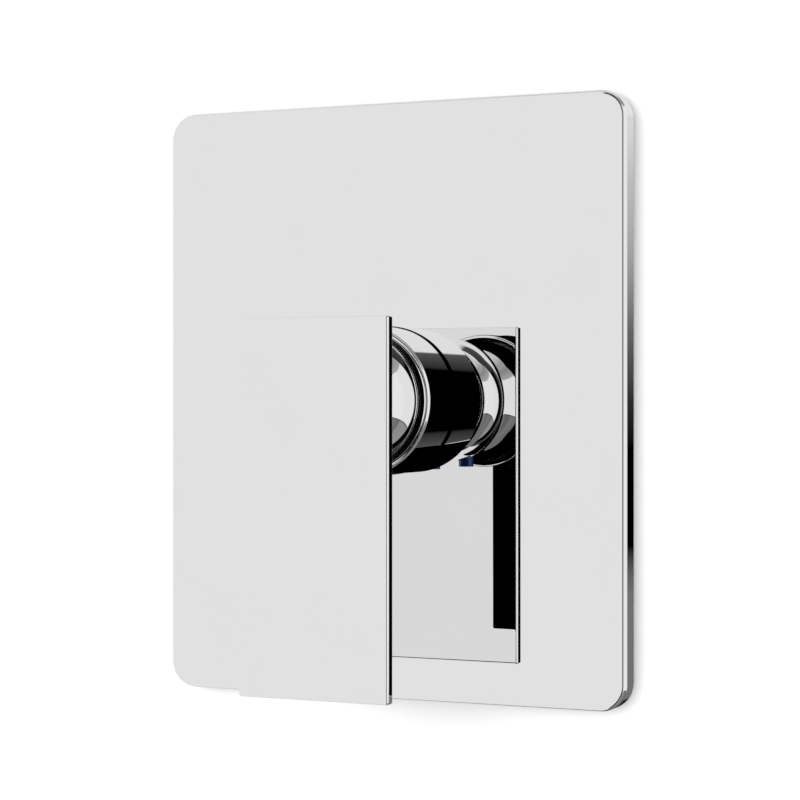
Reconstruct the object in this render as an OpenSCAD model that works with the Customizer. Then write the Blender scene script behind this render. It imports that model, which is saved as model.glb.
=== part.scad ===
// Trim of a concealed single-lever shower mixer, with the cartridge and the function block behind it.
// Every piece is drawn with its back on the wall plane: x to the right, y up the wall, z out of the wall.
// stand() then turns it upright, so that +Z is up and the front faces -Y.
// The origin is on the hub's axis, in the plane of the finished wall.

/* [Faceplate] */
// Width of the faceplate
plate_w = 150; // [130:1:180]
// Height of the faceplate
plate_h = 180; // [160:1:220]
// Distance from the wall to the front of the faceplate
plate_t = 8; // [7.5:0.1:12]
// Corner radius of the faceplate
plate_corner = 8; // [6:0.5:14]
// Rounding of the faceplate's front edge
plate_edge = 1.4; // [0.5:0.1:2]
// Thickness of the faceplate's metal
plate_wall = 1.4; // [1:0.1:1.6]
// Thickness of the rubber seal between the faceplate and the wall
gasket_t = 0.8; // [0.5:0.1:1.2]
// Width of that seal's strip
gasket_w = 3; // [2:0.1:4]

/* [Hub sleeve] */
// Outer diameter of the hub sleeve
hub_d = 44.3; // [43.9:0.1:50]
// How far the hub stands out of the faceplate
hub_out = 20.5; // [19.5:0.1:20.8]
// Width of the lip at the hub's mouth
hub_lip = 1.65; // [1.6:0.05:1.75]
// Depth of that lip
hub_lip_depth = 2.4; // [1:0.1:3]
// Rounding of the lip's outer edge
hub_edge = 0.9; // [0.3:0.05:1]
// Rounding of the lip's inner edge
hub_inner_edge = 0.3; // [0.2:0.05:0.5]
// Height of the shadow groove at the foot of the hub
groove_h = 1.7; // [0.8:0.1:2.5]
// Depth of the shadow groove
groove_depth = 0.6; // [0.3:0.05:0.8]
// How far the sleeve reaches back behind the wall plane
sleeve_back = 3; // [2:0.1:5]
// Gap between the sleeve and the faceplate's hole
hub_gap = 0.25; // [0.1:0.05:0.5]

/* [Lever] */
// Distance from the wall to the front of the lever's blade
reach = 60; // [59:0.5:70]
// Width of the blade
blade_w = 46.5; // [42:0.5:60]
// Height of the blade's top edge above the hub's axis
blade_top = 23.5; // [21:0.5:30]
// Length of the blade
blade_len = 107.5; // [90:0.5:110]
// Thickness of the blade
blade_t = 3.5; // [2.5:0.1:5]
// Rounding of the blade's edges
blade_edge = 0.7; // [0.3:0.05:1.1]
// Diameter of the flare where the lever's ball meets the blade
neck_d = 39.6; // [38:0.1:42]
// Diameter of the lever's ball, which fills the hub's mouth
foot_d = 40; // [39.6:0.1:40.2]
// Depth of the ball's open rim behind the ball's centre
foot_rim = 5.4; // [5:0.1:5.5]
// Wall of the hollow ball
neck_wall = 2.4; // [2:0.1:2.5]
// Diameter of the boss in the ball that holds the stem
boss_d = 19; // [18:0.1:20]

/* [Travel] */
// Distance from the wall to the axis that the lever tilts about, through the ball's centre
pivot_out = 33; // [32.9:0.1:33.2]
// How far the lever lifts, in degrees
lift_max = 15; // [10:1:15]
// How far the lever turns to each side, in degrees
turn_max = 45; // [30:1:45]

/* [Cartridge] */
// Outer diameter of the cartridge
cart_d = 35; // [34.6:0.1:35]
// Diameter of the cartridge's neck
cart_neck_d = 27; // [26.6:0.1:27.2]
// Diameter of the turning carrier
carrier_d = 22; // [21.6:0.1:22.4]
// Width of the square stem
stem_w = 7; // [6.5:0.1:7]
// Diameter of the pin that the stem tilts on
pin_d = 3; // [2.5:0.1:3.4]
// Length of the stem's lower arm, from the pin to the ball
arm_len = 21; // [20.8:0.1:21.2]
// Diameter of the ball at the end of that arm
ball_d = 6; // [5.5:0.1:6.2]
// Diameter of the moving ceramic disc
moving_d = 17.6; // [17.4:0.1:17.6]
// Diameter of the fixed ceramic disc
fixed_d = 29; // [28.6:0.1:29.2]
// Thickness of each ceramic disc
disc_t = 4; // [3:0.1:4.5]

/* [Cover ring and nut] */
// Inner diameter of the ring that closes the hub round the lever's foot
cover_bore = 27.8; // [27.4:0.1:28.4]
// Thickness of that ring
cover_t = 0.8; // [0.6:0.1:0.9]
// Thread diameter of the retaining nut
nut_d = 37.8; // [37.6:0.1:38]

/* [Function block] */
// Outer diameter of the block's neck
block_neck_d = 41.6; // [41.5:0.1:41.8]
// Diameter of the block's body
block_d = 56; // [54:1:60]
// Depth of the block's body behind the cartridge
block_depth = 20; // [18:1:30]
// Distance from the flange's holes to its edges, and the radius of its corners
flange_edge = 7; // [6:0.5:10]
// Thickness of the flange
flange_t = 8; // [6:0.5:10]
// Hole spacing of the flange, both ways
flange_pitch = 58; // [57.5:0.5:60]
// Diameter of the flange's holes
flange_hole_d = 5.5; // [5.2:0.1:6]
// Outer diameter of the pipe spigots
spigot_d = 18; // [17:0.1:19]
// Bore of the pipe spigots
spigot_bore = 13; // [11:0.1:14]
// Length of the pipe spigots
spigot_len = 10; // [8:0.5:14]

/* [Mounting frame] */
// Distance from the faceplate's edge to the mounting frame, at the sides
frame_side = 9; // [7:0.5:12]
// Distance from the faceplate's edge to the mounting frame, above and below
frame_end = 10; // [7:0.5:12]
// Thickness of the mounting frame
frame_t = 4.6; // [4:0.1:4.8]
// Thickness of the frame's floor between its ribs
frame_floor = 2; // [1.5:0.1:3]
// Width of the frame's ribs
rib_w = 2.4; // [2:0.1:4]
// Diameter of the opening round the block's neck
frame_opening = 52; // [50:1:60]
// Spacing of the fixing holes across
fix_pitch_x = 100; // [90:1:104]
// Spacing of the fixing holes up the wall
fix_pitch_y = 130; // [120:1:134]
// Diameter of the fixing holes
fix_hole_d = 4.5; // [4.2:0.1:5]
// Width of the sprung clips
clip_w = 12; // [8:0.5:16]
// How far a clip reaches inwards over the frame's floor
clip_tail = 6; // [4:0.5:8]
// Thickness of the clips' strip
clip_strip = 0.6; // [0.4:0.1:0.8]

/* [Fasteners and seals] */
// Thread diameter of the frame's screws
frame_screw_d = 4; // [3.5:0.1:4]
// Length of the frame's screws
frame_screw_len = 32; // [20:1:50]
// Thread diameter of the block's screws
block_screw_d = 5; // [4:0.1:5]
// Length of the block's screws
block_screw_len = 22; // [16:1:30]
// Thread diameter of the grub screw
grub_d = 4; // [4:0.1:5]
// Length of the grub screw
grub_len = 8; // [6:0.5:8.5]
// Diameter of the index plug
plug_d = 4.8; // [4.8:0.1:5.4]
// How far the index plug stands out of the ball
plug_out = 4; // [1:0.1:4.4]

/* [Hidden] */
$fn = 96;

// Clearances
fit = 0.06;      // running fit, on the radius
seat = 0.1;      // pieces that sit still in each other, on the radius
free = 0.3;      // pieces that move past each other
eps = 0.5;       // how far a cut runs past the face it opens
seam = 0.3;      // how far the flare starts below the place where its arc touches the ball

// Levels along z, from the blade down to the pipes
hub_front = plate_t + hub_out;
blade_back = reach - blade_t;
foot_rim_z = pivot_out - foot_rim;
head_top = pivot_out + 2.6;
ball_z = pivot_out - arm_len;
flange_bottom = ball_z + 1.8;
flange_top = flange_bottom + 2.5;
carrier_top = flange_top + 4.3;
slider_top = flange_bottom - free;
slider_bottom = ball_z - ball_d / 2 - 1.6;
moving_bottom = slider_bottom - disc_t;
fixed_bottom = moving_bottom - disc_t;
base_bottom = fixed_bottom - 6;
seal_t = 2;
cart_floor = base_bottom - seal_t;
shoulder_z = carrier_top - 1.6;
nut_top = shoulder_z + 2.5;
nut_foot = shoulder_z - 7.5;
ring_top = carrier_top + 2.2;
seal_z = (flange_top + carrier_top) / 2;
block_back = cart_floor - block_depth;
flange_front = cart_floor + 2;
boss_foot = pivot_out + 5.7;
spigot_back = block_back - spigot_len;

// Mounting frame
frame_w = plate_w - 2 * frame_side;
frame_h = plate_h - 2 * frame_end;
shank_cut = 0.2;

// Radii
hub_r = hub_d / 2;
mouth_r = hub_r - hub_lip;
sleeve_bore_r = block_neck_d / 2 + seat;
foot_r = foot_d / 2;
flare_run = blade_back - pivot_out;
// The flare's arc touches the ball and the blade's back
flare_r = (pow(neck_d / 2, 2) - pow(foot_r, 2) + pow(flare_run, 2)) / (2 * (foot_r + flare_run));
flare_z = blade_back - flare_r;
blend_z = pivot_out + (flare_z - pivot_out) * foot_r / (foot_r + flare_r);
carrier_r = carrier_d / 2;
bore_r = carrier_r + fit;
cart_r = cart_d / 2;
chamber_r = fixed_d / 2 + seat;
head_r = carrier_r - 1.1;
flange_r = chamber_r - free;
nut_r = nut_d / 2;
nut_bore_r = cart_neck_d / 2 + free;
rail_x = 8;
rail_h = 2.6;
slider_w = 2 * (rail_x - free);
flange_w = flange_pitch + 2 * flange_edge;

// Ports of the discs and the base
inlet_r = [6.6, 10.4];
inlet_a = [14, 52];
outlet_y = 5.5;
outlet_r = 3.6;
mix_y = 2.6;
mix_r = 4.6;
mix_depth = 2;
// Pipe spigots: hot, cold and the way out to the shower
inlet_x = 12.5;
inlet_y = -8;
out_y = 14;
SPIGOTS = [[-inlet_x, inlet_y], [inlet_x, inlet_y], [0, out_y]];
INLETS = [SPIGOTS[0], SPIGOTS[1]];

// Lever details
socket_w = stem_w + 2 * seat;
stem_top = blade_back - 6;
insert_r = 7;
insert_foot = boss_foot + 0.3;
screw_z = insert_foot + grub_d / 2 + 1.4;
plug_depth = 3;
plug_r = plug_d / 2;

function ball_surface(z) = sqrt(pow(foot_r, 2) - pow(z - pivot_out, 2));

module stand() {
    rotate([90, 0, 0]) children();
}

module disc(r, z0, z1) {
    translate([0, 0, z0]) cylinder(r = r, h = z1 - z0);
}

module ring(r_out, r_in, z0, z1) {
    difference() {
        disc(r_out, z0, z1);
        disc(r_in, z0 - eps, z1 + eps);
    }
}

module torus(ring_r, cord_r, z) {
    translate([0, 0, z]) rotate_extrude() translate([ring_r, 0]) circle(r = cord_r, $fn = 32);
}

module sector(r_in, r_out, a0, a1, z0, z1) {
    translate([0, 0, z0]) rotate([0, 0, a0]) rotate_extrude(angle = a1 - a0)
        translate([r_in, 0]) square([r_out - r_in, z1 - z0]);
}

module rounded_rect(w, h, r) {
    square([w - 2 * r, h], center = true);
    square([w, h - 2 * r], center = true);
    at_corners(w - 2 * r, h - 2 * r) circle(r = r);
}

module at_corners(w, h) {
    for (x = [-w / 2, w / 2], y = [-h / 2, h / 2]) translate([x, y]) children();
}

module at_each(places) {
    for (p = places) translate(p) children();
}

module slab(w, h, r, z0, z1) {
    translate([0, 0, z0]) linear_extrude(z1 - z0) rounded_rect(w, h, r);
}

// The inlet and outlet passages, from z0 to z1
module ports(z0, z1) {
    for (side = [-1, 1]) {
        a = -90 + side * (inlet_a[0] + inlet_a[1]) / 2;
        half = (inlet_a[1] - inlet_a[0]) / 2;
        sector(inlet_r[0], inlet_r[1], a - half, a + half, z0, z1);
    }
    translate([0, outlet_y]) disc(outlet_r, z0, z1);
}

// A pressed and plated shell, open at the back
module faceplate() {
    inner_w = plate_w - 2 * plate_wall;
    inner_h = plate_h - 2 * plate_wall;
    collar_r = hub_r + hub_gap;
    color("silver") stand() difference() {
        union() {
            difference() {
                hull() at_corners(plate_w - 2 * plate_corner, plate_h - 2 * plate_corner) {
                    translate([0, 0, gasket_t])
                        cylinder(r = plate_corner, h = plate_t - gasket_t - plate_edge, $fn = 48);
                    translate([0, 0, plate_t - plate_edge]) rotate_extrude($fn = 48)
                        translate([plate_corner - plate_edge, 0]) intersection() {
                            circle(r = plate_edge, $fn = 24);
                            square(plate_edge);
                        }
                }
                slab(inner_w, inner_h, plate_corner - plate_wall, gasket_t - eps, plate_t - plate_wall);
            }
            ring(collar_r + 1.6, collar_r, gasket_t, plate_t - plate_wall / 2);
        }
        disc(collar_r, -eps, plate_t + eps);
    }
}

module plate_gasket() {
    margin = 0.4;
    color("dimgray") stand() difference() {
        slab(plate_w - 2 * margin, plate_h - 2 * margin, plate_corner - margin, 0, gasket_t);
        slab(plate_w - 2 * margin - 2 * gasket_w, plate_h - 2 * margin - 2 * gasket_w,
            plate_corner - margin - gasket_w, -eps, gasket_t + eps);
    }
}

// A moulded tray: floor, rim, ribs, four screw bosses, and a collar round the opening
module mounting_frame() {
    opening_r = frame_opening / 2;
    boss_r = 7;
    color("gainsboro") stand() difference() {
        union() {
            slab(frame_w, frame_h, 5, 0, frame_floor);
            difference() {
                slab(frame_w, frame_h, 5, 0, frame_t);
                slab(frame_w - 2 * rib_w, frame_h - 2 * rib_w, 5 - rib_w / 2, frame_floor, frame_t + eps);
            }
            disc(opening_r + rib_w, 0, frame_t);
            at_corners(fix_pitch_x, fix_pitch_y) disc(boss_r, 0, frame_t);
            for (x = [-1, 1]) translate([x * fix_pitch_x / 2, 0, frame_t / 2])
                cube([rib_w, frame_h - rib_w, frame_t], center = true);
            for (y = [-1, 1]) translate([0, y * fix_pitch_y / 2, frame_t / 2])
                cube([frame_w - rib_w, rib_w, frame_t], center = true);
            for (a = [45:90:315]) rotate([0, 0, a]) translate([opening_r + 10, 0, frame_t / 2])
                cube([20, rib_w, frame_t], center = true);
        }
        disc(opening_r, -eps, frame_t + eps);
        at_corners(fix_pitch_x, fix_pitch_y) {
            disc(fix_hole_d / 2, -eps, frame_t + eps);
            disc(frame_screw_d + free, frame_floor, frame_t + eps);
        }
        clip_places() translate([0, 0, frame_floor]) clip_pocket();
    }
}

// Where the clips sit: two on each long side of the frame
module clip_places() {
    for (side = [0, 180], y = [-1, 1]) rotate([0, 0, side]) translate([frame_w / 2, y * frame_h / 4, 0])
        children();
}

module clip_pocket() {
    room = clip_w + 2 * free;
    translate([-clip_tail - free, -room / 2, 0]) cube([clip_tail + free + eps, room, frame_t]);
}

// Sprung steel clips that hold the faceplate by the inside of its rim
module plate_clips() {
    grip_x = frame_side - plate_wall - seat;
    inner_x = grip_x - clip_strip - seat;
    bend_z = frame_t / 2;
    top_z = frame_t - 0.4;
    color("lightsteelblue") stand() clip_places() translate([0, clip_w / 2, frame_floor])
        rotate([90, 0, 0]) linear_extrude(clip_w) polygon([
            [-clip_tail, 0], [clip_strip, 0], [grip_x, bend_z - 0.4], [grip_x, bend_z],
            [grip_x - top_z / 2, top_z], [inner_x - top_z / 2, top_z - 0.3], [inner_x, bend_z],
            [clip_strip, clip_strip], [-clip_tail, clip_strip]]);
}

// Screw with a plain, slightly thinner shank through the piece that it holds
module pan_screw(d, length, grip, head_d, head_h) {
    difference() {
        union() {
            disc(d / 2, -length, -grip);
            disc(d / 2 - shank_cut, -grip - eps, eps);
            disc(head_d / 2, 0, head_h);
        }
        translate([0, 0, head_h - head_h / 2]) for (a = [0, 90]) rotate([0, 0, a])
            translate([-head_d * 0.3, -0.5, 0]) cube([head_d * 0.6, 1, head_h]);
    }
}

module frame_screws() {
    color("silver") stand() at_corners(fix_pitch_x, fix_pitch_y) translate([0, 0, frame_floor])
        pan_screw(frame_screw_d, frame_screw_len, frame_floor, 2 * frame_screw_d - 0.4, 2.2);
}

module lip_profile() {
    lip_back = hub_front - hub_lip_depth;
    difference() {
        translate([mouth_r, lip_back]) square([hub_lip, hub_lip_depth]);
        translate([mouth_r, hub_front - hub_inner_edge]) square(hub_inner_edge);
        translate([hub_r - hub_edge, hub_front - hub_edge]) square(hub_edge);
    }
    translate([mouth_r + hub_inner_edge, hub_front - hub_inner_edge]) circle(r = hub_inner_edge, $fn = 24);
    translate([hub_r - hub_edge, hub_front - hub_edge]) circle(r = hub_edge, $fn = 32);
}

// The round tube that stands out of the faceplate, with its lip and shadow groove
module hub_sleeve() {
    color("silver") stand() difference() {
        union() {
            ring(hub_r, sleeve_bore_r, -sleeve_back, hub_front - hub_lip_depth);
            rotate_extrude() lip_profile();
        }
        ring(hub_r + eps, hub_r - groove_depth, plate_t, plate_t + groove_h);
    }
}

oring_cord = 0.5;
oring_z = -1;
module sleeve_oring() {
    color("black") stand() torus(sleeve_bore_r - oring_cord - 0.02, oring_cord, oring_z);
}

// Thin chromed ring that closes the hub round the lever's foot
module cover_ring() {
    color("silver") stand() ring(sleeve_bore_r - seat, cover_bore / 2, nut_top + 0.1, nut_top + 0.1 + cover_t);
}

// Threaded ring that presses the cartridge into the block
module retaining_nut() {
    color("goldenrod") stand() difference() {
        disc(nut_r, nut_foot, nut_top);
        disc(cart_r + seat, nut_foot - eps, shoulder_z);
        disc(nut_bore_r, nut_foot, nut_top + eps);
        for (a = [0:60:300]) rotate([0, 0, a]) translate([(nut_r + nut_bore_r) / 2, 0])
            disc(1.2, nut_top - 1.6, nut_top + eps);
    }
}

// Brass body that holds the cartridge and carries the three pipe spigots
module function_block() {
    neck_top = nut_top;
    color("darkgoldenrod") stand() difference() {
        union() {
            disc(block_neck_d / 2, cart_floor - 1, neck_top);
            disc(block_d / 2, block_back, cart_floor);
            slab(flange_w, flange_w, flange_edge, flange_front - flange_t, flange_front);
            at_each(SPIGOTS) disc(spigot_d / 2, spigot_back, block_back + 1);
        }
        disc(cart_r + seat, cart_floor, neck_top + eps);
        disc(nut_r + seat, nut_foot - 0.5, neck_top + eps);
        ring(block_neck_d, sleeve_bore_r - 2 * oring_cord - 0.1, oring_z - 0.7, oring_z + 0.7);
        at_corners(flange_pitch, flange_pitch) disc(flange_hole_d / 2, block_back, flange_front + eps);
        ports(cart_floor - 9, cart_floor + eps);
        at_each(SPIGOTS) {
            disc(spigot_bore / 2, spigot_back - eps, cart_floor - 7);
            ring(spigot_d, spigot_d / 2 - 1.1, spigot_back + 3, spigot_back + 5.2);
        }
    }
}

module block_screws() {
    color("silver") stand() at_corners(flange_pitch, flange_pitch) translate([0, 0, flange_front])
        pan_screw(block_screw_d, block_screw_len, flange_t, 2 * block_screw_d - 1, 3.2);
}

module spigot_orings() {
    color("black") stand() at_each(SPIGOTS) torus(spigot_d / 2 - 0.1, 0.98, spigot_back + 4.1);
}

// Backflow preventers in the two inlets
module check_valves() {
    r = spigot_bore / 2 - seat;
    z0 = spigot_back + 5;
    z1 = z0 + 9;
    color("white") stand() at_each(INLETS) {
        ring(r, r - 1.2, z0, z1);
        for (a = [0, 90]) rotate([0, 0, a]) translate([0, 0, z0 + 1]) cube([2 * r - 2, 1.2, 2], center = true);
        disc(1.2, z0 + 1, z1);
        translate([0, 0, z1 - 3]) cylinder(r1 = 1.2, r2 = r - 1.1, h = 3);
    }
}

// Dirt strainers at the mouths of the two inlets
module inlet_strainers() {
    r = spigot_bore / 2 - seat;
    z0 = spigot_back + 0.4;
    color("lightgray") stand() at_each(INLETS) {
        ring(r, r - 1, z0, z0 + 4);
        for (a = [0, 90]) rotate([0, 0, a]) for (i = [-2:2])
            translate([i * 2, 0, z0 + 0.4]) cube([0.6, 2 * sqrt(pow(r, 2) - pow(i * 2, 2)) - 1, 0.8], center = true);
    }
}

// Plastic shell of the cartridge
module cartridge_housing() {
    key_z = (nut_foot + base_bottom) / 2 + 3.5;
    color("gainsboro") stand() difference() {
        union() {
            disc(cart_r, base_bottom + 1.2, shoulder_z);
            disc(cart_neck_d / 2, shoulder_z - eps, carrier_top);
        }
        disc(chamber_r, base_bottom, flange_top + free);
        disc(bore_r, flange_top, carrier_top + eps);
        for (a = [0:90:270]) rotate([0, 0, a + 45]) translate([chamber_r, 0, base_bottom + 4])
            cube([3, 6, 6], center = true);
        for (a = [0, 180]) rotate([0, 0, a]) translate([cart_r, 0, key_z]) cube([2, 6, 8], center = true);
    }
}

// Base with the three ports, clipped into the shell
module cartridge_base() {
    clip_z = base_bottom + 1.2;
    color("slategray") stand() difference() {
        union() {
            disc(chamber_r - seat, base_bottom, fixed_bottom);
            disc(cart_r, base_bottom, clip_z);
            for (a = [0:90:270]) rotate([0, 0, a + 45]) translate([chamber_r - 0.2, 0, clip_z + 2.4])
                cube([2.4, 5.4, 4.6], center = true);
        }
        ports(base_bottom - eps, fixed_bottom + eps);
        rotate([0, 0, 90]) translate([cart_r, 0, base_bottom]) disc(1.6, -eps, 3);
    }
}

module port_seal() {
    color("black") stand() difference() {
        disc(cart_r - 2, cart_floor, base_bottom);
        ports(cart_floor - eps, base_bottom + eps);
    }
}

module fixed_disc() {
    color("white") stand() difference() {
        disc(fixed_d / 2, fixed_bottom, moving_bottom);
        ports(fixed_bottom - eps, moving_bottom + eps);
        for (a = [0, 180]) rotate([0, 0, a]) translate([fixed_d / 2, 0, fixed_bottom + 1])
            cube([2, 4, 3], center = true);
    }
}

// Ceramic disc that slides and turns on the fixed one and mixes in its pocket
module moving_disc() {
    color("ghostwhite") stand() difference() {
        disc(moving_d / 2, moving_bottom, slider_bottom);
        translate([0, mix_y]) disc(mix_r, moving_bottom - eps, moving_bottom + mix_depth);
        peg_places() disc(1.5 + seat, slider_bottom - 1.5, slider_bottom + eps);
    }
}

module peg_places() {
    for (x = [-5.5, 5.5]) translate([x, -3]) children();
}

// Driver between the stem's ball and the moving disc, guided by the carrier's rails
module disc_slider() {
    color("dimgray") stand() difference() {
        union() {
            intersection() {
                disc(moving_d / 2, slider_bottom, slider_top);
                translate([0, 0, ball_z]) cube([slider_w, moving_d, moving_d], center = true);
            }
            peg_places() disc(1.5, slider_bottom - 1.4, slider_bottom + 1);
        }
        disc(ball_d / 2 + free, slider_bottom + 1, slider_top + eps);
    }
}

// Side view of the room that the stem needs as it tilts, y to the right and z up
module tilt_slot() {
    up = head_top - pivot_out + eps;
    down = pivot_out - flange_bottom + eps;
    half = stem_w / 2 + free;
    arm = stem_w / 2 - 0.2 + free;
    lean = tan(lift_max);
    polygon([
        [-half, 0], [-half, up], [half / cos(lift_max) + up * lean, up], [half + 0.4, 0],
        [arm + 0.6, -down], [-arm / cos(lift_max) - down * lean, -down]]);
}

// Turning carrier: flange and rails below, lug for the limit ring above
module stem_carrier() {
    color("whitesmoke") stand() difference() {
        union() {
            disc(carrier_r, flange_top - eps, carrier_top);
            disc(flange_r, flange_bottom, flange_top);
            disc(head_r, carrier_top - eps, head_top);
            sector(head_r - 1, carrier_r - 0.1, -98, -82, carrier_top - eps, ring_top - 0.2);
            for (side = [-1, 1]) intersection() {
                disc(flange_r, flange_bottom - rail_h, flange_bottom);
                translate([side * (rail_x + 10), 0, flange_bottom]) cube([20, 2 * flange_r, 20], center = true);
            }
        }
        translate([-stem_w / 2 - free, 0, pivot_out]) rotate([90, 0, 90])
            linear_extrude(stem_w + 2 * free) tilt_slot();
        translate([-flange_r, 0, pivot_out]) rotate([0, 90, 0]) cylinder(d = pin_d, h = 2 * flange_r);
        ring(carrier_r + eps, carrier_r - 0.9, seal_z - 0.9, seal_z + 0.9);
    }
}

module carrier_oring() {
    cord = 0.45;
    color("black") stand() torus(bore_r - cord - 0.02, cord, seal_z);
}

module pivot_pin() {
    half = sqrt(pow(head_r, 2) - pow(pin_d / 2, 2)) - 0.4;
    color("silver") stand() translate([-half, 0, pivot_out]) rotate([0, 90, 0])
        cylinder(d = pin_d - 0.04, h = 2 * half);
}

// Toothed ring whose notch stops the carrier's lug
module limit_ring() {
    lug_a = 8 + 2.5;
    ring_r = cart_neck_d / 2 - 0.1;
    color("firebrick") stand() difference() {
        disc(ring_r, carrier_top, ring_top);
        disc(head_r + free, carrier_top - eps, head_top + eps);
        sector(head_r - 1, carrier_r + 0.2, -90 - turn_max - lug_a, -90 + turn_max + lug_a,
            carrier_top - eps, head_top + eps);
        for (a = [0:15:345]) rotate([0, 0, a]) translate([ring_r, 0, ring_top])
            cube([2.4, 1.2, 1.6], center = true);
    }
}

// Steel stem: square shank, hub for the pin, and a ball that drives the slider
module stem() {
    color("lightsteelblue") stand() translate([0, 0, pivot_out]) difference() {
        union() {
            translate([-stem_w / 2, -stem_w / 2, 0]) cube([stem_w, stem_w, stem_top - pivot_out]);
            translate([-stem_w / 2, 0, 0]) rotate([0, 90, 0]) cylinder(d = stem_w, h = stem_w);
            translate([0, 0, -arm_len]) cylinder(d = stem_w - 2.6, h = arm_len);
            translate([0, 0, -arm_len]) sphere(d = ball_d, $fn = 48);
        }
        translate([-stem_w, 0, 0]) rotate([0, 90, 0]) cylinder(r = pin_d / 2 + fit, h = 2 * stem_w);
    }
}

module blade() {
    inset = blade_edge;
    hull() for (x = [-1, 1], y = [blade_top - inset, blade_top - blade_len + inset],
            z = [blade_back + inset, reach - inset])
        translate([x * (blade_w / 2 - inset), y, z]) sphere(r = inset, $fn = 24);
}

// Outline of the ball and of the flare that joins it to the blade, turned about the hub's axis
module foot_profile() {
    intersection() {
        translate([0, pivot_out]) circle(r = foot_r);
        translate([0, foot_rim_z]) square([foot_r, foot_r + foot_rim]);
    }
    difference() {
        translate([0, blend_z - seam]) square([neck_d / 2, blade_back + blade_t / 2 - blend_z + seam]);
        translate([neck_d / 2, flare_z]) circle(r = flare_r);
    }
}

// One casting: a flat blade on a hollow ball, with the boss for the stem and its screw
module lever() {
    hollow_r = foot_r - neck_wall;
    color("silver") stand() difference() {
        union() {
            blade();
            difference() {
                rotate_extrude() foot_profile();
                translate([0, 0, pivot_out]) sphere(r = hollow_r);
            }
            disc(boss_d / 2, boss_foot, blade_back);
            intersection() {
                translate([0, 0, screw_z]) rotate([90, 0, 0]) cylinder(d = plug_d + 4, h = foot_r);
                translate([0, 0, pivot_out]) sphere(r = foot_r - 1);
                disc(foot_r, boss_foot, blade_back);
            }
        }
        disc(insert_r + 0.02, boss_foot - eps, stem_top + 2);
        translate([0, 0, screw_z]) rotate([90, 0, 0]) cylinder(d = grub_d + 0.1, h = foot_r);
        translate([0, -ball_surface(screw_z) + plug_depth, screw_z]) rotate([90, 0, 0])
            cylinder(r = plug_r + seat, h = foot_r);
    }
}

// Brass sleeve with the square socket, pressed into the lever's boss
module stem_insert() {
    color("goldenrod") stand() difference() {
        disc(insert_r, insert_foot, stem_top + 1.8);
        translate([-socket_w / 2, -socket_w / 2, insert_foot - eps])
            cube([socket_w, socket_w, stem_top - insert_foot + eps + 0.2]);
        translate([0, 0, screw_z]) rotate([90, 0, 0]) cylinder(d = grub_d + 0.1, h = 2 * insert_r);
    }
}

module grub_screw() {
    start = stem_w / 2 + 0.05;
    color("dimgray") stand() translate([0, -start, screw_z]) rotate([90, 0, 0]) difference() {
        cylinder(d = grub_d, h = grub_len);
        translate([0, 0, grub_len - 2.2]) cylinder(d = 2.9, h = 3, $fn = 6);
    }
}

// Small coloured plug that closes the screw's hole on the underside of the ball
module index_plug() {
    outer = ball_surface(screw_z) + plug_out;
    color("royalblue") stand() translate([0, -outer, screw_z]) rotate([-90, 0, 0])
        cylinder(r = plug_r, h = plug_out + plug_depth - seat);
}

faceplate();
plate_gasket();
mounting_frame();
frame_screws();
plate_clips();
hub_sleeve();
sleeve_oring();
cover_ring();
retaining_nut();
function_block();
block_screws();
spigot_orings();
check_valves();
inlet_strainers();
cartridge_housing();
cartridge_base();
port_seal();
fixed_disc();
moving_disc();
disc_slider();
stem_carrier();
carrier_oring();
pivot_pin();
limit_ring();
stem();
lever();
stem_insert();
grub_screw();
index_plug();
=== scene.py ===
import math

import bmesh
import bpy
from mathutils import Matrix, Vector


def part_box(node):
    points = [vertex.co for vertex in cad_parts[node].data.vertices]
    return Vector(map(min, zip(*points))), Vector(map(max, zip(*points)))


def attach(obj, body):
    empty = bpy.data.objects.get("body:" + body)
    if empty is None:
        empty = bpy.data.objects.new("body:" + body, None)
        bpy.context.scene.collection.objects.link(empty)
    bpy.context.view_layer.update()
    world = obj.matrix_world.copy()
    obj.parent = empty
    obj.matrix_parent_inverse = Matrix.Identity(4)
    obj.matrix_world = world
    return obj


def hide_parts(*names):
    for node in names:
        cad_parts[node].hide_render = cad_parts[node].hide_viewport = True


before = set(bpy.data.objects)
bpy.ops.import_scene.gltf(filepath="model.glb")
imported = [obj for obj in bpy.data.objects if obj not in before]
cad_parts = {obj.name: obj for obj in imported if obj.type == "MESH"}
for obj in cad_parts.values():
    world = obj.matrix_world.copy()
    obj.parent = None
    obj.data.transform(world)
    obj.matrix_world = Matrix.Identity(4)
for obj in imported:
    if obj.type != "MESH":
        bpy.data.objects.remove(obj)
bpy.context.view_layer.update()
MM = 0.001

# Sizes of the trim, read from the frame. "Out" is the distance from the wall, towards -Y.
plate_low, plate_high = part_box("faceplate")
hub_low, hub_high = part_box("hub_sleeve")
lever_low, lever_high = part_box("lever")
cover_low, cover_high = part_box("cover_ring")

PLATE_W = plate_high.x - plate_low.x
PLATE_H = plate_high.z - plate_low.z
PLATE_FRONT = -plate_low.y
PLATE_BACK = -plate_high.y
HUB_R = hub_high.x
HUB_FRONT = -hub_low.y
HUB_BACK = -hub_high.y
COVER_R = cover_high.x
COVER_FRONT = -cover_low.y
COVER_BACK = -cover_high.y
BLADE_FRONT = -lever_low.y
BLADE_W = lever_high.x - lever_low.x
BLADE_TOP = lever_high.z
BLADE_BOTTOM = lever_low.z
BALL_RIM = -lever_high.y

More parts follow.
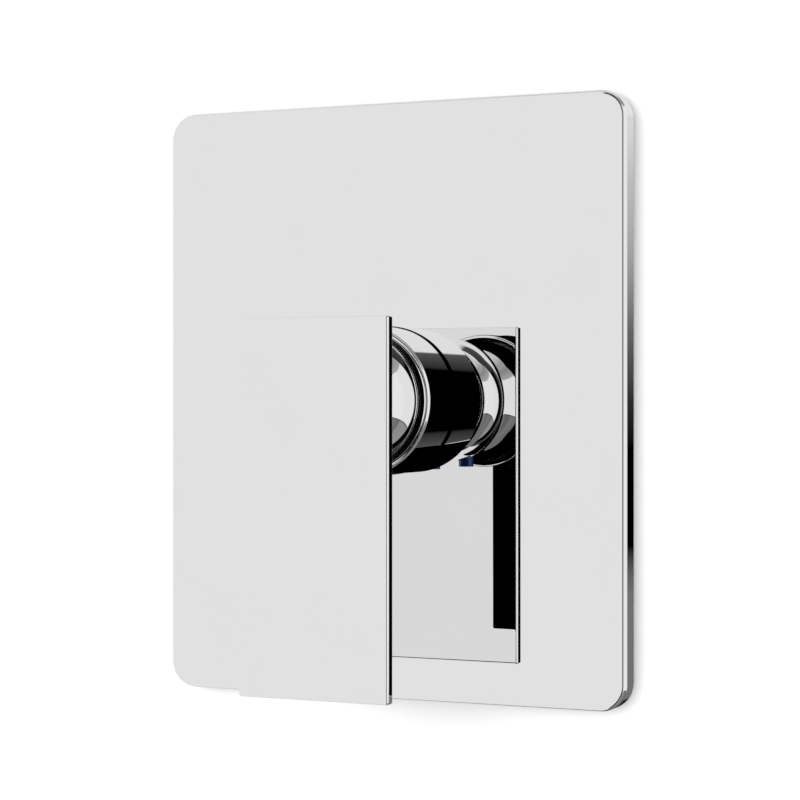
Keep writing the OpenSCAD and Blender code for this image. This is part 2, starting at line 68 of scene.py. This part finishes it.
# Sizes that the boxes don't show, as in the part's source
PLATE_CORNER = 8 * MM
PLATE_EDGE = 1.4 * MM
PLATE_WALL = 1.4 * MM
COLLAR_WALL = 1.6 * MM
HUB_LIP = 1.65 * MM
HUB_LIP_DEPTH = 2.4 * MM
HUB_EDGE = 0.9 * MM
HUB_INNER_EDGE = 0.3 * MM
HUB_GAP = 0.25 * MM
GROOVE_H = 1.7 * MM
GROOVE_DEPTH = 0.6 * MM
COVER_BORE = 13.9 * MM
COVER_GAP = 0.1 * MM
BLADE_T = 3.5 * MM
BLADE_EDGE = 0.7 * MM
FLARE_END = 19.8 * MM
BALL_R = 20 * MM
BALL_WALL = 2.4 * MM
RIM_DROP = 5.4 * MM
BOSS_R = 9.5 * MM
BOSS_RISE = 5.7 * MM
INSERT_R = 7.02 * MM
INSERT_COVER = 4 * MM
SCREW_RISE = 3.7 * MM
SCREW_HOLE_R = 2.05 * MM
SCREW_TUBE_R = 4.4 * MM
PLUG_HOLE_R = 2.5 * MM
PLUG_DEPTH = 3 * MM
TOOL_OVERLAP = 1 * MM

# Places worked out from them
SLEEVE_BORE = COVER_R + COVER_GAP
BLADE_BACK = BLADE_FRONT - BLADE_T
BALL_OUT = BALL_RIM + RIM_DROP
BOSS_FOOT = BALL_OUT + BOSS_RISE
INSERT_ROOM = BLADE_BACK - INSERT_COVER
SCREW_OUT = BOSS_FOOT + SCREW_RISE

# Points round a full turn, and steps along each rounded edge
FINE = 256
ROD_COUNT = 64
EDGE_STEPS = 10
INNER_EDGE_STEPS = 6
BLADE_STEPS = 8
FLARE_STEPS = 28
BALL_STEPS = 44
HOLLOW_STEPS = 24
SMALLEST_CORNER = 0.02 * MM
SHARP_ANGLE = 35

# Brightness of the studio's two lights and of what is overhead, as the chrome mirrors them
LIGHT = 0.79
PANEL = 0.82
OVERHEAD = 0.6
WORLD_LIGHT = 1.1
# Cycles lets one mirroring more than this through, so the picture shows three
GLOSSY_BOUNCES = 2

DOME_RADIUS = 6
SHEET_SIZE = 8
WALL_GAP = 0.3 * MM
FLOOR_DROP = 0.6
LAMP_SIZE = 1.0
LAMP_POWER = 8.0
LAMP_PLACE = (-0.42, -1.5, 0.28)

# The camera, from the photo's edges
PHOTO_WIDTH = 800
FOCAL_PIXELS = 2165.7
SENSOR_WIDTH = 36
CAMERA_PLACE = (0.2673, -0.60405, 0)
CAMERA_TURN = 23.84
CAMERA_SHIFT = 0.0007


# Nodes

def feed(tree, socket, value):
    """Links value to the socket where it is an output, else sets it"""
    if isinstance(value, bpy.types.NodeSocket):
        tree.links.new(value, socket)
    else:
        socket.default_value = value


def math_node(tree, operation, a, b=0.0):
    node = tree.nodes.new("ShaderNodeMath")
    node.operation = operation
    feed(tree, node.inputs[0], a)
    feed(tree, node.inputs[1], b)
    return node.outputs[0]


def mix(tree, kind, amount, a, b):
    """a where amount is 0 and b where it is 1, for kind FLOAT or RGBA"""
    first, second, result = {"FLOAT": (2, 3, 0), "RGBA": (6, 7, 2)}[kind]
    node = tree.nodes.new("ShaderNodeMix")
    node.data_type = kind
    feed(tree, node.inputs[0], amount)
    feed(tree, node.inputs[first], a)
    feed(tree, node.inputs[second], b)
    return node.outputs[result]


def between(tree, value, low, high):
    """1 where value lies between low and high, else 0"""
    above = math_node(tree, "GREATER_THAN", value, low)
    below = math_node(tree, "LESS_THAN", value, high)
    return math_node(tree, "MULTIPLY", above, below)


def curve(tree, source, points):
    """A value that runs straight between (position, value) points"""
    lowest, highest = points[0][0], points[-1][0]
    fit = tree.nodes.new("ShaderNodeMapRange")
    fit.inputs["From Min"].default_value = lowest
    fit.inputs["From Max"].default_value = highest
    tree.links.new(source, fit.inputs["Value"])
    node = tree.nodes.new("ShaderNodeValToRGB")
    first, last = node.color_ramp.elements
    first.position, last.position = 0, 1
    first.color = (*[points[0][1]] * 3, 1)
    last.color = (*[points[-1][1]] * 3, 1)
    for position, value in points[1:-1]:
        stop = node.color_ramp.elements.new((position - lowest) / (highest - lowest))
        stop.color = (value, value, value, 1)
    tree.links.new(fit.outputs[0], node.inputs["Fac"])
    return node.outputs["Color"]


# Materials

def new_material(name):
    material = bpy.data.materials.new(name)
    material.use_nodes = True
    tree = material.node_tree
    tree.nodes.clear()
    output = tree.nodes.new("ShaderNodeOutputMaterial")
    shader = tree.nodes.new("ShaderNodeBsdfPrincipled")
    tree.links.new(shader.outputs[0], output.inputs["Surface"])
    return material, shader


def noise(tree, scale):
    coords = tree.nodes.new("ShaderNodeTexCoord")
    texture = tree.nodes.new("ShaderNodeTexNoise")
    texture.inputs["Scale"].default_value = scale
    texture.inputs["Detail"].default_value = 2.0
    tree.links.new(coords.outputs["Object"], texture.inputs["Vector"])
    return texture.outputs[0]


def ramp(tree, source, low, high):
    """source, which runs from about 0.3 to 0.7, becomes a value or a colour between low and high"""
    node = tree.nodes.new("ShaderNodeValToRGB")
    for stop, position, value in zip(node.color_ramp.elements, (0.3, 0.7), (low, high)):
        stop.position = position
        stop.color = (*value, 1) if isinstance(value, tuple) else (value, value, value, 1)
    tree.links.new(source, node.inputs["Fac"])
    return node.outputs["Color"]


def surface(name, low, high, roughness, metallic, scale):
    """A surface whose colour and roughness vary a little"""
    material, shader = new_material(name)
    tree = material.node_tree
    tree.links.new(ramp(tree, noise(tree, scale), low, high), shader.inputs["Base Color"])
    rough = ramp(tree, noise(tree, scale / 3), roughness, roughness + 0.05)
    tree.links.new(rough, shader.inputs["Roughness"])
    shader.inputs["Metallic"].default_value = metallic
    return material


def chrome(name):
    material, shader = new_material(name)
    tree = material.node_tree
    colour = ramp(tree, noise(tree, 40), (0.95, 0.95, 0.951), (0.955, 0.955, 0.955))
    tree.links.new(colour, shader.inputs["Base Color"])
    tree.links.new(ramp(tree, noise(tree, 25), 0.0, 0.004), shader.inputs["Roughness"])
    shader.inputs["Metallic"].default_value = 1.0
    return material, shader, colour


def hub_chrome():
    """Chrome with painted shade: the shadow groove's floor and the bore get a near-black base colour in
    place of the shade that falls in these recesses
    """
    material, shader, colour = chrome("hub chrome with painted shade")
    tree = material.node_tree
    coords = tree.nodes.new("ShaderNodeTexCoord")
    split = tree.nodes.new("ShaderNodeSeparateXYZ")
    tree.links.new(coords.outputs["Object"], split.inputs[0])
    x, y, z = split.outputs
    # The painted-shade masks end just beside the polished faces
    squares = [math_node(tree, "MULTIPLY", side, side) for side in (x, z)]
    radius = math_node(tree, "SQRT", math_node(tree, "ADD", *squares))
    # Mask for the painted shade on the shadow groove's floor
    groove = math_node(tree, "MULTIPLY",
                       between(tree, y, -(PLATE_FRONT + GROOVE_H * 0.99), -PLATE_FRONT * 1.001),
                       between(tree, radius, 0, HUB_R - GROOVE_DEPTH * 0.1))
    # Mask for the painted shade inside the bore
    bore = math_node(tree, "MULTIPLY",
                     between(tree, radius, 0, SLEEVE_BORE * 1.002),
                     between(tree, y, -(HUB_FRONT - HUB_LIP_DEPTH * 0.99), 1))
    painted_shade = math_node(tree, "MAXIMUM", groove, bore)
    # Painted shade: near-black base colour wherever either mask is set
    tree.links.new(mix(tree, "RGBA", painted_shade, colour, (0.02, 0.02, 0.02, 1)), shader.inputs["Base Color"])
    return material


CHROME = chrome("chrome")[0]
# Hub chrome with painted shade in its groove and bore
HUB_CHROME_PAINTED_SHADE = hub_chrome()
SATIN = surface("satin chrome", 0.30, 0.35, 0.30, 1.0, 500)

# Finish of the pieces carried over from CAD: low and high colour, roughness, metallic, noise scale, nodes
FINISHES = {
    "black rubber": ((0.012, 0.012, 0.013), (0.025, 0.025, 0.026), 0.55, 0.0, 900,
                     ("sleeve_oring", "spigot_orings", "port_seal", "carrier_oring")),
    "grey foam": ((0.035, 0.035, 0.037), (0.062, 0.062, 0.065), 0.85, 0.0, 2600, ("plate_gasket",)),
    "frame plastic": ((0.60, 0.60, 0.57), (0.66, 0.66, 0.63), 0.45, 0.0, 700, ("mounting_frame",)),
    "cartridge plastic": ((0.54, 0.56, 0.54), (0.61, 0.62, 0.61), 0.38, 0.0, 1400, ("cartridge_housing",)),
    "base plastic": ((0.068, 0.088, 0.11), (0.082, 0.105, 0.13), 0.42, 0.0, 1400, ("cartridge_base",)),
    "slider plastic": ((0.024, 0.024, 0.027), (0.032, 0.032, 0.035), 0.35, 0.0, 1200, ("disc_slider",)),
    "limit red": ((0.31, 0.005, 0.004), (0.37, 0.007, 0.006), 0.22, 0.0, 800, ("limit_ring",)),
    "valve plastic": ((0.70, 0.70, 0.67), (0.77, 0.77, 0.74), 0.35, 0.0, 900,
                      ("check_valves", "stem_carrier")),
    "ceramic white": ((0.80, 0.80, 0.77), (0.86, 0.86, 0.84), 0.10, 0.0, 2000,
                      ("fixed_disc", "moving_disc")),
    "raw brass": ((0.55, 0.38, 0.16), (0.66, 0.48, 0.22), 0.28, 1.0, 600,
                  ("retaining_nut", "function_block", "stem_insert")),
    "screw steel": ((0.50, 0.505, 0.51), (0.62, 0.62, 0.625), 0.22, 1.0, 1100,
                    ("frame_screws", "block_screws", "inlet_strainers", "pivot_pin", "stem")),
    "spring steel": ((0.40, 0.42, 0.44), (0.50, 0.52, 0.54), 0.32, 1.0, 500, ("plate_clips",)),
    "black oxide": ((0.028, 0.028, 0.03), (0.042, 0.042, 0.045), 0.38, 1.0, 1500, ("grub_screw",)),
    "index blue": ((0.004, 0.030, 0.13), (0.006, 0.036, 0.15), 0.22, 0.0, 1000, ("index_plug",)),
}


def finish_cad_nodes():
    for name, (*look, nodes) in FINISHES.items():
        material = surface(name, *look)
        for node in nodes:
            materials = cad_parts[node].data.materials
            materials.clear()
            materials.append(material)


# Meshes

def link(obj):
    bpy.context.scene.collection.objects.link(obj)
    return obj


def finish_mesh(name, mesh_data, body, material, slot, *nodes):
    """Makes the object, shades it smooth and lets it stand for its CAD nodes"""
    obj = link(bpy.data.objects.new(name, mesh_data))
    mesh_data.materials.append(material)
    mesh_data.shade_smooth()
    mesh_data.set_sharp_from_angle(angle=math.radians(SHARP_ANGLE))
    weighted = obj.modifiers.new("even normals", "WEIGHTED_NORMAL")
    weighted.keep_sharp = True
    weighted.weight = 100
    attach(obj, body)
    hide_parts(*nodes)


def bridge(bm, rings, closed):
    """Quads between rings of equal count"""
    rows = [[bm.verts.new(point) for point in ring] for ring in rings]
    pairs = list(zip(rows, rows[1:]))
    if closed:
        pairs.append((rows[-1], rows[0]))
    for a, b in pairs:
        for i in range(len(a)):
            j = (i + 1) % len(a)
            bm.faces.new((a[i], a[j], b[j], b[i]))


def to_mesh(bm, name):
    bmesh.ops.recalc_face_normals(bm, faces=bm.faces[:])
    data = bpy.data.meshes.new(name)
    bm.to_mesh(data)
    bm.free()
    return data


def arc(centre, radius, start, end, steps):
    """Points of an arc in a profile, as (across, out of the wall)"""
    angles = [math.radians(start + (end - start) * i / steps) for i in range(steps + 1)]
    return [(centre[0] + radius * math.cos(a), centre[1] + radius * math.sin(a)) for a in angles]


def circle_ring(radius, out):
    angles = [2 * math.pi * (i + 0.5) / FINE for i in range(FINE)]
    return [(radius * math.cos(a), -out, radius * math.sin(a)) for a in angles]


def revolve(profile, name):
    bm = bmesh.new()
    bridge(bm, [circle_ring(radius, out) for radius, out in profile], True)
    return to_mesh(bm, name)


def rounded_ring(width, height, radius, out, middle=0.0):
    """A rounded rectangle whose points lie in the same order round it as a circle's"""
    points = []
    quarter = FINE // 4
    for turn, (side, rise) in enumerate(((1, 1), (-1, 1), (-1, -1), (1, -1))):
        x = side * (width / 2 - radius)
        z = rise * (height / 2 - radius) + middle
        for i in range(quarter):
            a = math.pi / 2 * (turn + i / (quarter - 1))
            points.append((x + radius * math.cos(a), -out, z + radius * math.sin(a)))
    return points


def quarter_turn(steps):
    return [math.pi / 2 * i / steps for i in range(steps + 1)]


def make_plate():
    def outline(inset, out):
        return rounded_ring(PLATE_W - 2 * inset, PLATE_H - 2 * inset, PLATE_CORNER - inset, out)

    hole = HUB_R + HUB_GAP
    inside = PLATE_FRONT - PLATE_WALL
    rings = [outline(0, PLATE_BACK)]
    rings += [outline(PLATE_EDGE * (1 - math.cos(a)), PLATE_FRONT - PLATE_EDGE * (1 - math.sin(a)))
              for a in quarter_turn(EDGE_STEPS)]
    rings += [circle_ring(hole, PLATE_FRONT), circle_ring(hole, PLATE_BACK)]
    rings += [circle_ring(hole + COLLAR_WALL, PLATE_BACK), circle_ring(hole + COLLAR_WALL, inside)]
    rings += [outline(PLATE_WALL, inside), outline(PLATE_WALL, PLATE_BACK)]
    bm = bmesh.new()
    bridge(bm, rings, True)
    finish_mesh("plate", to_mesh(bm, "plate"), "root", CHROME, "plate_chrome", "faceplate")


def make_hub():
    mouth = HUB_R - HUB_LIP
    lip_back = HUB_FRONT - HUB_LIP_DEPTH
    groove_r = HUB_R - GROOVE_DEPTH
    groove_top = PLATE_FRONT + GROOVE_H
    profile = [(SLEEVE_BORE, HUB_BACK), (HUB_R, HUB_BACK), (HUB_R, PLATE_FRONT)]
    profile += [(groove_r, PLATE_FRONT), (groove_r, groove_top), (HUB_R, groove_top)]
    profile += arc((HUB_R - HUB_EDGE, HUB_FRONT - HUB_EDGE), HUB_EDGE, 0, 90, EDGE_STEPS)
    profile += arc((mouth + HUB_INNER_EDGE, HUB_FRONT - HUB_INNER_EDGE), HUB_INNER_EDGE,
                   90, 180, INNER_EDGE_STEPS)
    profile += [(mouth, lip_back), (SLEEVE_BORE, lip_back)]
    finish_mesh("hub", revolve(profile, "hub"), "root", HUB_CHROME_PAINTED_SHADE, "hub_chrome", "hub_sleeve")


def make_cover():
    profile = [(COVER_BORE, COVER_BACK), (COVER_R, COVER_BACK)]
    profile += [(COVER_R, COVER_FRONT), (COVER_BORE, COVER_FRONT)]
    finish_mesh("cover", revolve(profile, "cover"), "root", SATIN, "cover_chrome", "cover_ring")


def flare():
    """Radius and centre's distance out of the arc that touches ball and blade, and its angle at the ball"""
    run = BLADE_BACK - BALL_OUT
    radius = (FLARE_END ** 2 - BALL_R ** 2 + run ** 2) / (2 * (BALL_R + run))
    centre = BLADE_BACK - radius
    return radius, centre, math.degrees(math.atan2(centre - BALL_OUT, FLARE_END))


def make_rod(radius, start, end):
    """A rod along the grub screw's hole, from start to end below the hub's axis"""
    angles = [2 * math.pi * i / ROD_COUNT for i in range(ROD_COUNT)]
    rings = [[(radius * math.cos(a), -SCREW_OUT + radius * math.sin(a), -drop) for a in angles]
             for drop in (start, end)]
    bm = bmesh.new()
    bridge(bm, rings, False)
    bmesh.ops.holes_fill(bm, edges=bm.edges[:])
    return link(bpy.data.objects.new("rod", to_mesh(bm, "rod")))


def carve(mesh_data, steps):
    """Applies boolean steps, each an operation with its rod's sizes, to a mesh"""
    body = link(bpy.data.objects.new("carved", mesh_data))
    rods = []
    for operation, sizes in steps:
        modifier = body.modifiers.new("cut", "BOOLEAN")
        modifier.operation = operation
        modifier.solver = "EXACT"
        modifier.object = make_rod(*sizes)
        rods.append(modifier.object)
    result = bpy.data.meshes.new_from_object(body.evaluated_get(bpy.context.evaluated_depsgraph_get()))
    for obj in [*rods, body]:
        bpy.data.objects.remove(obj)
    return result


def make_lever():
    height = BLADE_TOP - BLADE_BOTTOM
    middle = (BLADE_TOP + BLADE_BOTTOM) / 2

    def outline(inset, out):
        corner = max(BLADE_EDGE - inset, SMALLEST_CORNER)
        return rounded_ring(BLADE_W - 2 * inset, height - 2 * inset, corner, out, middle)

    turns = quarter_turn(BLADE_STEPS)
    rings = [outline(BLADE_EDGE * (1 - math.sin(a)), BLADE_FRONT - BLADE_EDGE * (1 - math.cos(a)))
             for a in turns]
    rings += [outline(BLADE_EDGE * (1 - math.cos(a)), BLADE_BACK + BLADE_EDGE * (1 - math.sin(a)))
              for a in turns]

    # Flare, ball, rim, hollow, boss and the insert's bore
    radius, centre, meeting = flare()
    hollow = BALL_R - BALL_WALL
    rim_angle = math.degrees(math.asin(-RIM_DROP / BALL_R))
    hollow_rim = math.degrees(math.asin(-RIM_DROP / hollow))
    hollow_end = math.degrees(math.acos(BOSS_R / hollow))
    profile = arc((FLARE_END, centre), radius, 90, 180 + meeting, FLARE_STEPS)
    profile += arc((0, BALL_OUT), BALL_R, meeting, rim_angle, BALL_STEPS)[1:]
    profile += arc((0, BALL_OUT), hollow, hollow_rim, hollow_end, HOLLOW_STEPS)
    profile += [(BOSS_R, BOSS_FOOT), (INSERT_R, BOSS_FOOT), (INSERT_R, INSERT_ROOM)]
    rings += [circle_ring(r, out) for r, out in profile]
    bm = bmesh.new()
    bridge(bm, rings, False)
    bmesh.ops.holes_fill(bm, edges=[edge for edge in bm.edges if edge.is_boundary])

    ball_at_screw = math.sqrt(BALL_R ** 2 - (SCREW_OUT - BALL_OUT) ** 2)
    body = carve(to_mesh(bm, "lever_body"), (
        ("UNION", (SCREW_TUBE_R, INSERT_R + TOOL_OVERLAP, ball_at_screw - BALL_WALL / 2)),
        ("DIFFERENCE", (SCREW_HOLE_R, 0, BALL_R)),
        ("DIFFERENCE", (PLUG_HOLE_R, ball_at_screw - PLUG_DEPTH, BALL_R + TOOL_OVERLAP))))
    finish_mesh("lever_body", body, "handle", CHROME, "lever_chrome", "lever")


# Studio

def direction(tree):
    """Azimuth, 0 in front of the trim and positive to its right, and elevation, both in degrees"""
    coords = tree.nodes.new("ShaderNodeTexCoord")
    normal = tree.nodes.new("ShaderNodeVectorMath")
    normal.operation = "NORMALIZE"
    split = tree.nodes.new("ShaderNodeSeparateXYZ")
    tree.links.new(coords.outputs["Object"], normal.inputs[0])
    tree.links.new(normal.outputs[0], split.inputs[0])
    x, y, z = split.outputs
    turn = math_node(tree, "ARCTAN2", x, math_node(tree, "MULTIPLY", y, -1.0))
    azimuth = math_node(tree, "MULTIPLY", turn, 180 / math.pi)
    elevation = math_node(tree, "MULTIPLY", math_node(tree, "ARCSINE", z), 180 / math.pi)
    return azimuth, elevation


def stage_object(name, obj, material):
    """Names a staging object, gives it its material and hides it from diffuse and transmitted rays"""
    obj.name = name
    obj.data.materials.append(material)
    obj.visible_diffuse = False
    obj.visible_transmission = False


def make_dome():
    """What the chrome mirrors: brightness by direction, seen by mirrored rays alone"""
    material = bpy.data.materials.new("studio panels")
    material.use_nodes = True
    tree = material.node_tree
    tree.nodes.clear()
    output = tree.nodes.new("ShaderNodeOutputMaterial")
    glow = tree.nodes.new("ShaderNodeEmission")
    azimuth, elevation = direction(tree)

    # Brightness of each region
    around = curve(tree, azimuth, [(-180, 0.02), (-152, 0.02), (-140, LIGHT), (3, LIGHT), (4, 0.09),
                                   (14, 0.03), (15, 0), (29, 0), (31, PANEL), (180, PANEL)])
    beside = curve(tree, elevation, [(-90, 0), (-22.5, 0), (-22, PANEL), (33, PANEL), (34, 0.41),
                                     (47, 0.25), (53, 0.35), (90, 0.35)])
    below = curve(tree, azimuth, [(-180, 0.3), (30, 0.3), (60, 0.28), (90, 0.12), (100, 0.2),
                                  (115, 0.16), (180, 0.16)])
    behind = curve(tree, elevation, [(-90, 0.17), (-5, 0.17), (-4.8, 0), (-1.4, 0), (0, 0.026),
                                     (2, 0.13), (4.3, 0.38), (6.2, 0.51), (8, 0.70), (12, LIGHT),
                                     (90, LIGHT)])
    ceiling = curve(tree, azimuth, [(-180, LIGHT), (-20, LIGHT), (-14, 0.07), (30, 0.03), (180, 0.03)])

    # Where each region lies
    is_beside = curve(tree, azimuth, [(-180, 0), (30, 0), (31, 1), (180, 1)])
    is_behind = curve(tree, azimuth, [(-180, 0), (127, 0), (156, 1), (180, 1)])
    is_far_left = curve(tree, azimuth, [(-180, 1), (-152, 1), (-148, 0), (180, 0)])
    is_below = curve(tree, elevation, [(-90, 1), (-24, 1), (-22, 0), (90, 0)])
    is_up = curve(tree, elevation, [(-90, 0), (-2, 0), (2, 1), (90, 1)])
    is_high = curve(tree, elevation, [(-90, 0), (25, 0), (28, 1), (90, 1)])
    is_top = curve(tree, elevation, [(-90, 0), (58, 0), (68, 1), (90, 1)])
    low_right = math_node(tree, "MULTIPLY", is_below, is_beside)
    front_high = math_node(tree, "MULTIPLY", is_high, math_node(tree, "SUBTRACT", 1.0, is_beside))
    far_high = math_node(tree, "MULTIPLY", is_far_left, is_up)

    value = around
    for amount, other in ((is_beside, beside), (low_right, below), (front_high, ceiling),
                          (is_behind, behind), (far_high, LIGHT), (is_top, OVERHEAD)):
        value = mix(tree, "FLOAT", amount, value, other)
    tree.links.new(value, glow.inputs["Color"])
    tree.links.new(glow.outputs[0], output.inputs["Surface"])
    bpy.ops.mesh.primitive_uv_sphere_add(segments=96, ring_count=48, radius=DOME_RADIUS)
    dome = bpy.context.object
    dome.visible_camera = False
    dome.visible_shadow = False
    stage_object("studio_dome", dome, material)


def pale():
    """A pale matt surface, clear from behind"""
    material, shader = new_material("backdrop white")
    tree = material.node_tree
    tree.links.new(ramp(tree, noise(tree, 12), 0.95, 0.95), shader.inputs["Base Color"])
    shader.inputs["Roughness"].default_value = 1.0
    shader.inputs["Specular IOR Level"].default_value = 0.0
    clear = tree.nodes.new("ShaderNodeBsdfTransparent")
    blend = tree.nodes.new("ShaderNodeMixShader")
    facing = tree.nodes.new("ShaderNodeNewGeometry")
    output = next(node for node in tree.nodes if node.type == "OUTPUT_MATERIAL")
    tree.links.new(facing.outputs["Backfacing"], blend.inputs[0])
    tree.links.new(shader.outputs[0], blend.inputs[1])
    tree.links.new(clear.outputs[0], blend.inputs[2])
    tree.links.new(blend.outputs[0], output.inputs["Surface"])
    return material


def make_sheets():
    """The wall behind the trim, which catches its shadow, and the floor"""
    white = pale()
    upright = (math.radians(90), 0, 0)
    for name, place, turn in (("wall_sheet", (0, WALL_GAP, 0), upright),
                              ("floor", (0, 0, -FLOOR_DROP), (0, 0, 0))):
        bpy.ops.mesh.primitive_plane_add(size=SHEET_SIZE, location=place, rotation=turn)
        sheet = bpy.context.object
        sheet.visible_glossy = False
        stage_object(name, sheet, white)


def make_lamp():
    lamp = bpy.data.lights.new("key", "AREA")
    lamp.shape = "DISK"
    lamp.size = LAMP_SIZE
    lamp.energy = LAMP_POWER
    obj = link(bpy.data.objects.new("key", lamp))
    obj.location = LAMP_PLACE
    obj.rotation_euler = (-Vector(LAMP_PLACE)).to_track_quat("-Z", "Y").to_euler()
    obj.visible_glossy = False


def make_world():
    """White where it is seen, mirrored or looked through, and WORLD_LIGHT where it lights"""
    world = bpy.data.worlds.new("world")
    bpy.context.scene.world = world
    world.use_nodes = True
    tree = world.node_tree
    tree.nodes.clear()
    path = tree.nodes.new("ShaderNodeLightPath")
    is_seen = path.outputs["Is Camera Ray"]
    for ray in ("Is Glossy Ray", "Is Transmission Ray"):
        is_seen = math_node(tree, "MAXIMUM", is_seen, path.outputs[ray])
    blend = tree.nodes.new("ShaderNodeMixShader")
    tree.links.new(is_seen, blend.inputs[0])
    for socket, strength in ((1, WORLD_LIGHT), (2, 1.0)):
        background = tree.nodes.new("ShaderNodeBackground")
        background.inputs["Color"].default_value = (1, 1, 1, 1)
        background.inputs["Strength"].default_value = strength
        tree.links.new(background.outputs[0], blend.inputs[socket])
    output = tree.nodes.new("ShaderNodeOutputWorld")
    tree.links.new(blend.outputs[0], output.inputs["Surface"])


def make_camera():
    camera = bpy.data.cameras.new("camera")
    camera.sensor_width = SENSOR_WIDTH
    camera.lens = FOCAL_PIXELS * SENSOR_WIDTH / PHOTO_WIDTH
    camera.shift_y = CAMERA_SHIFT
    obj = link(bpy.data.objects.new("camera", camera))
    obj.location = CAMERA_PLACE
    obj.rotation_euler = (math.radians(90), 0, math.radians(CAMERA_TURN))
    bpy.context.scene.camera = obj


make_plate()
make_hub()
make_cover()
make_lever()
finish_cad_nodes()
make_dome()
make_sheets()
make_lamp()
make_world()
make_camera()
bpy.context.scene.view_settings.view_transform = "Standard"
bpy.context.scene.cycles.glossy_bounces = GLOSSY_BOUNCES
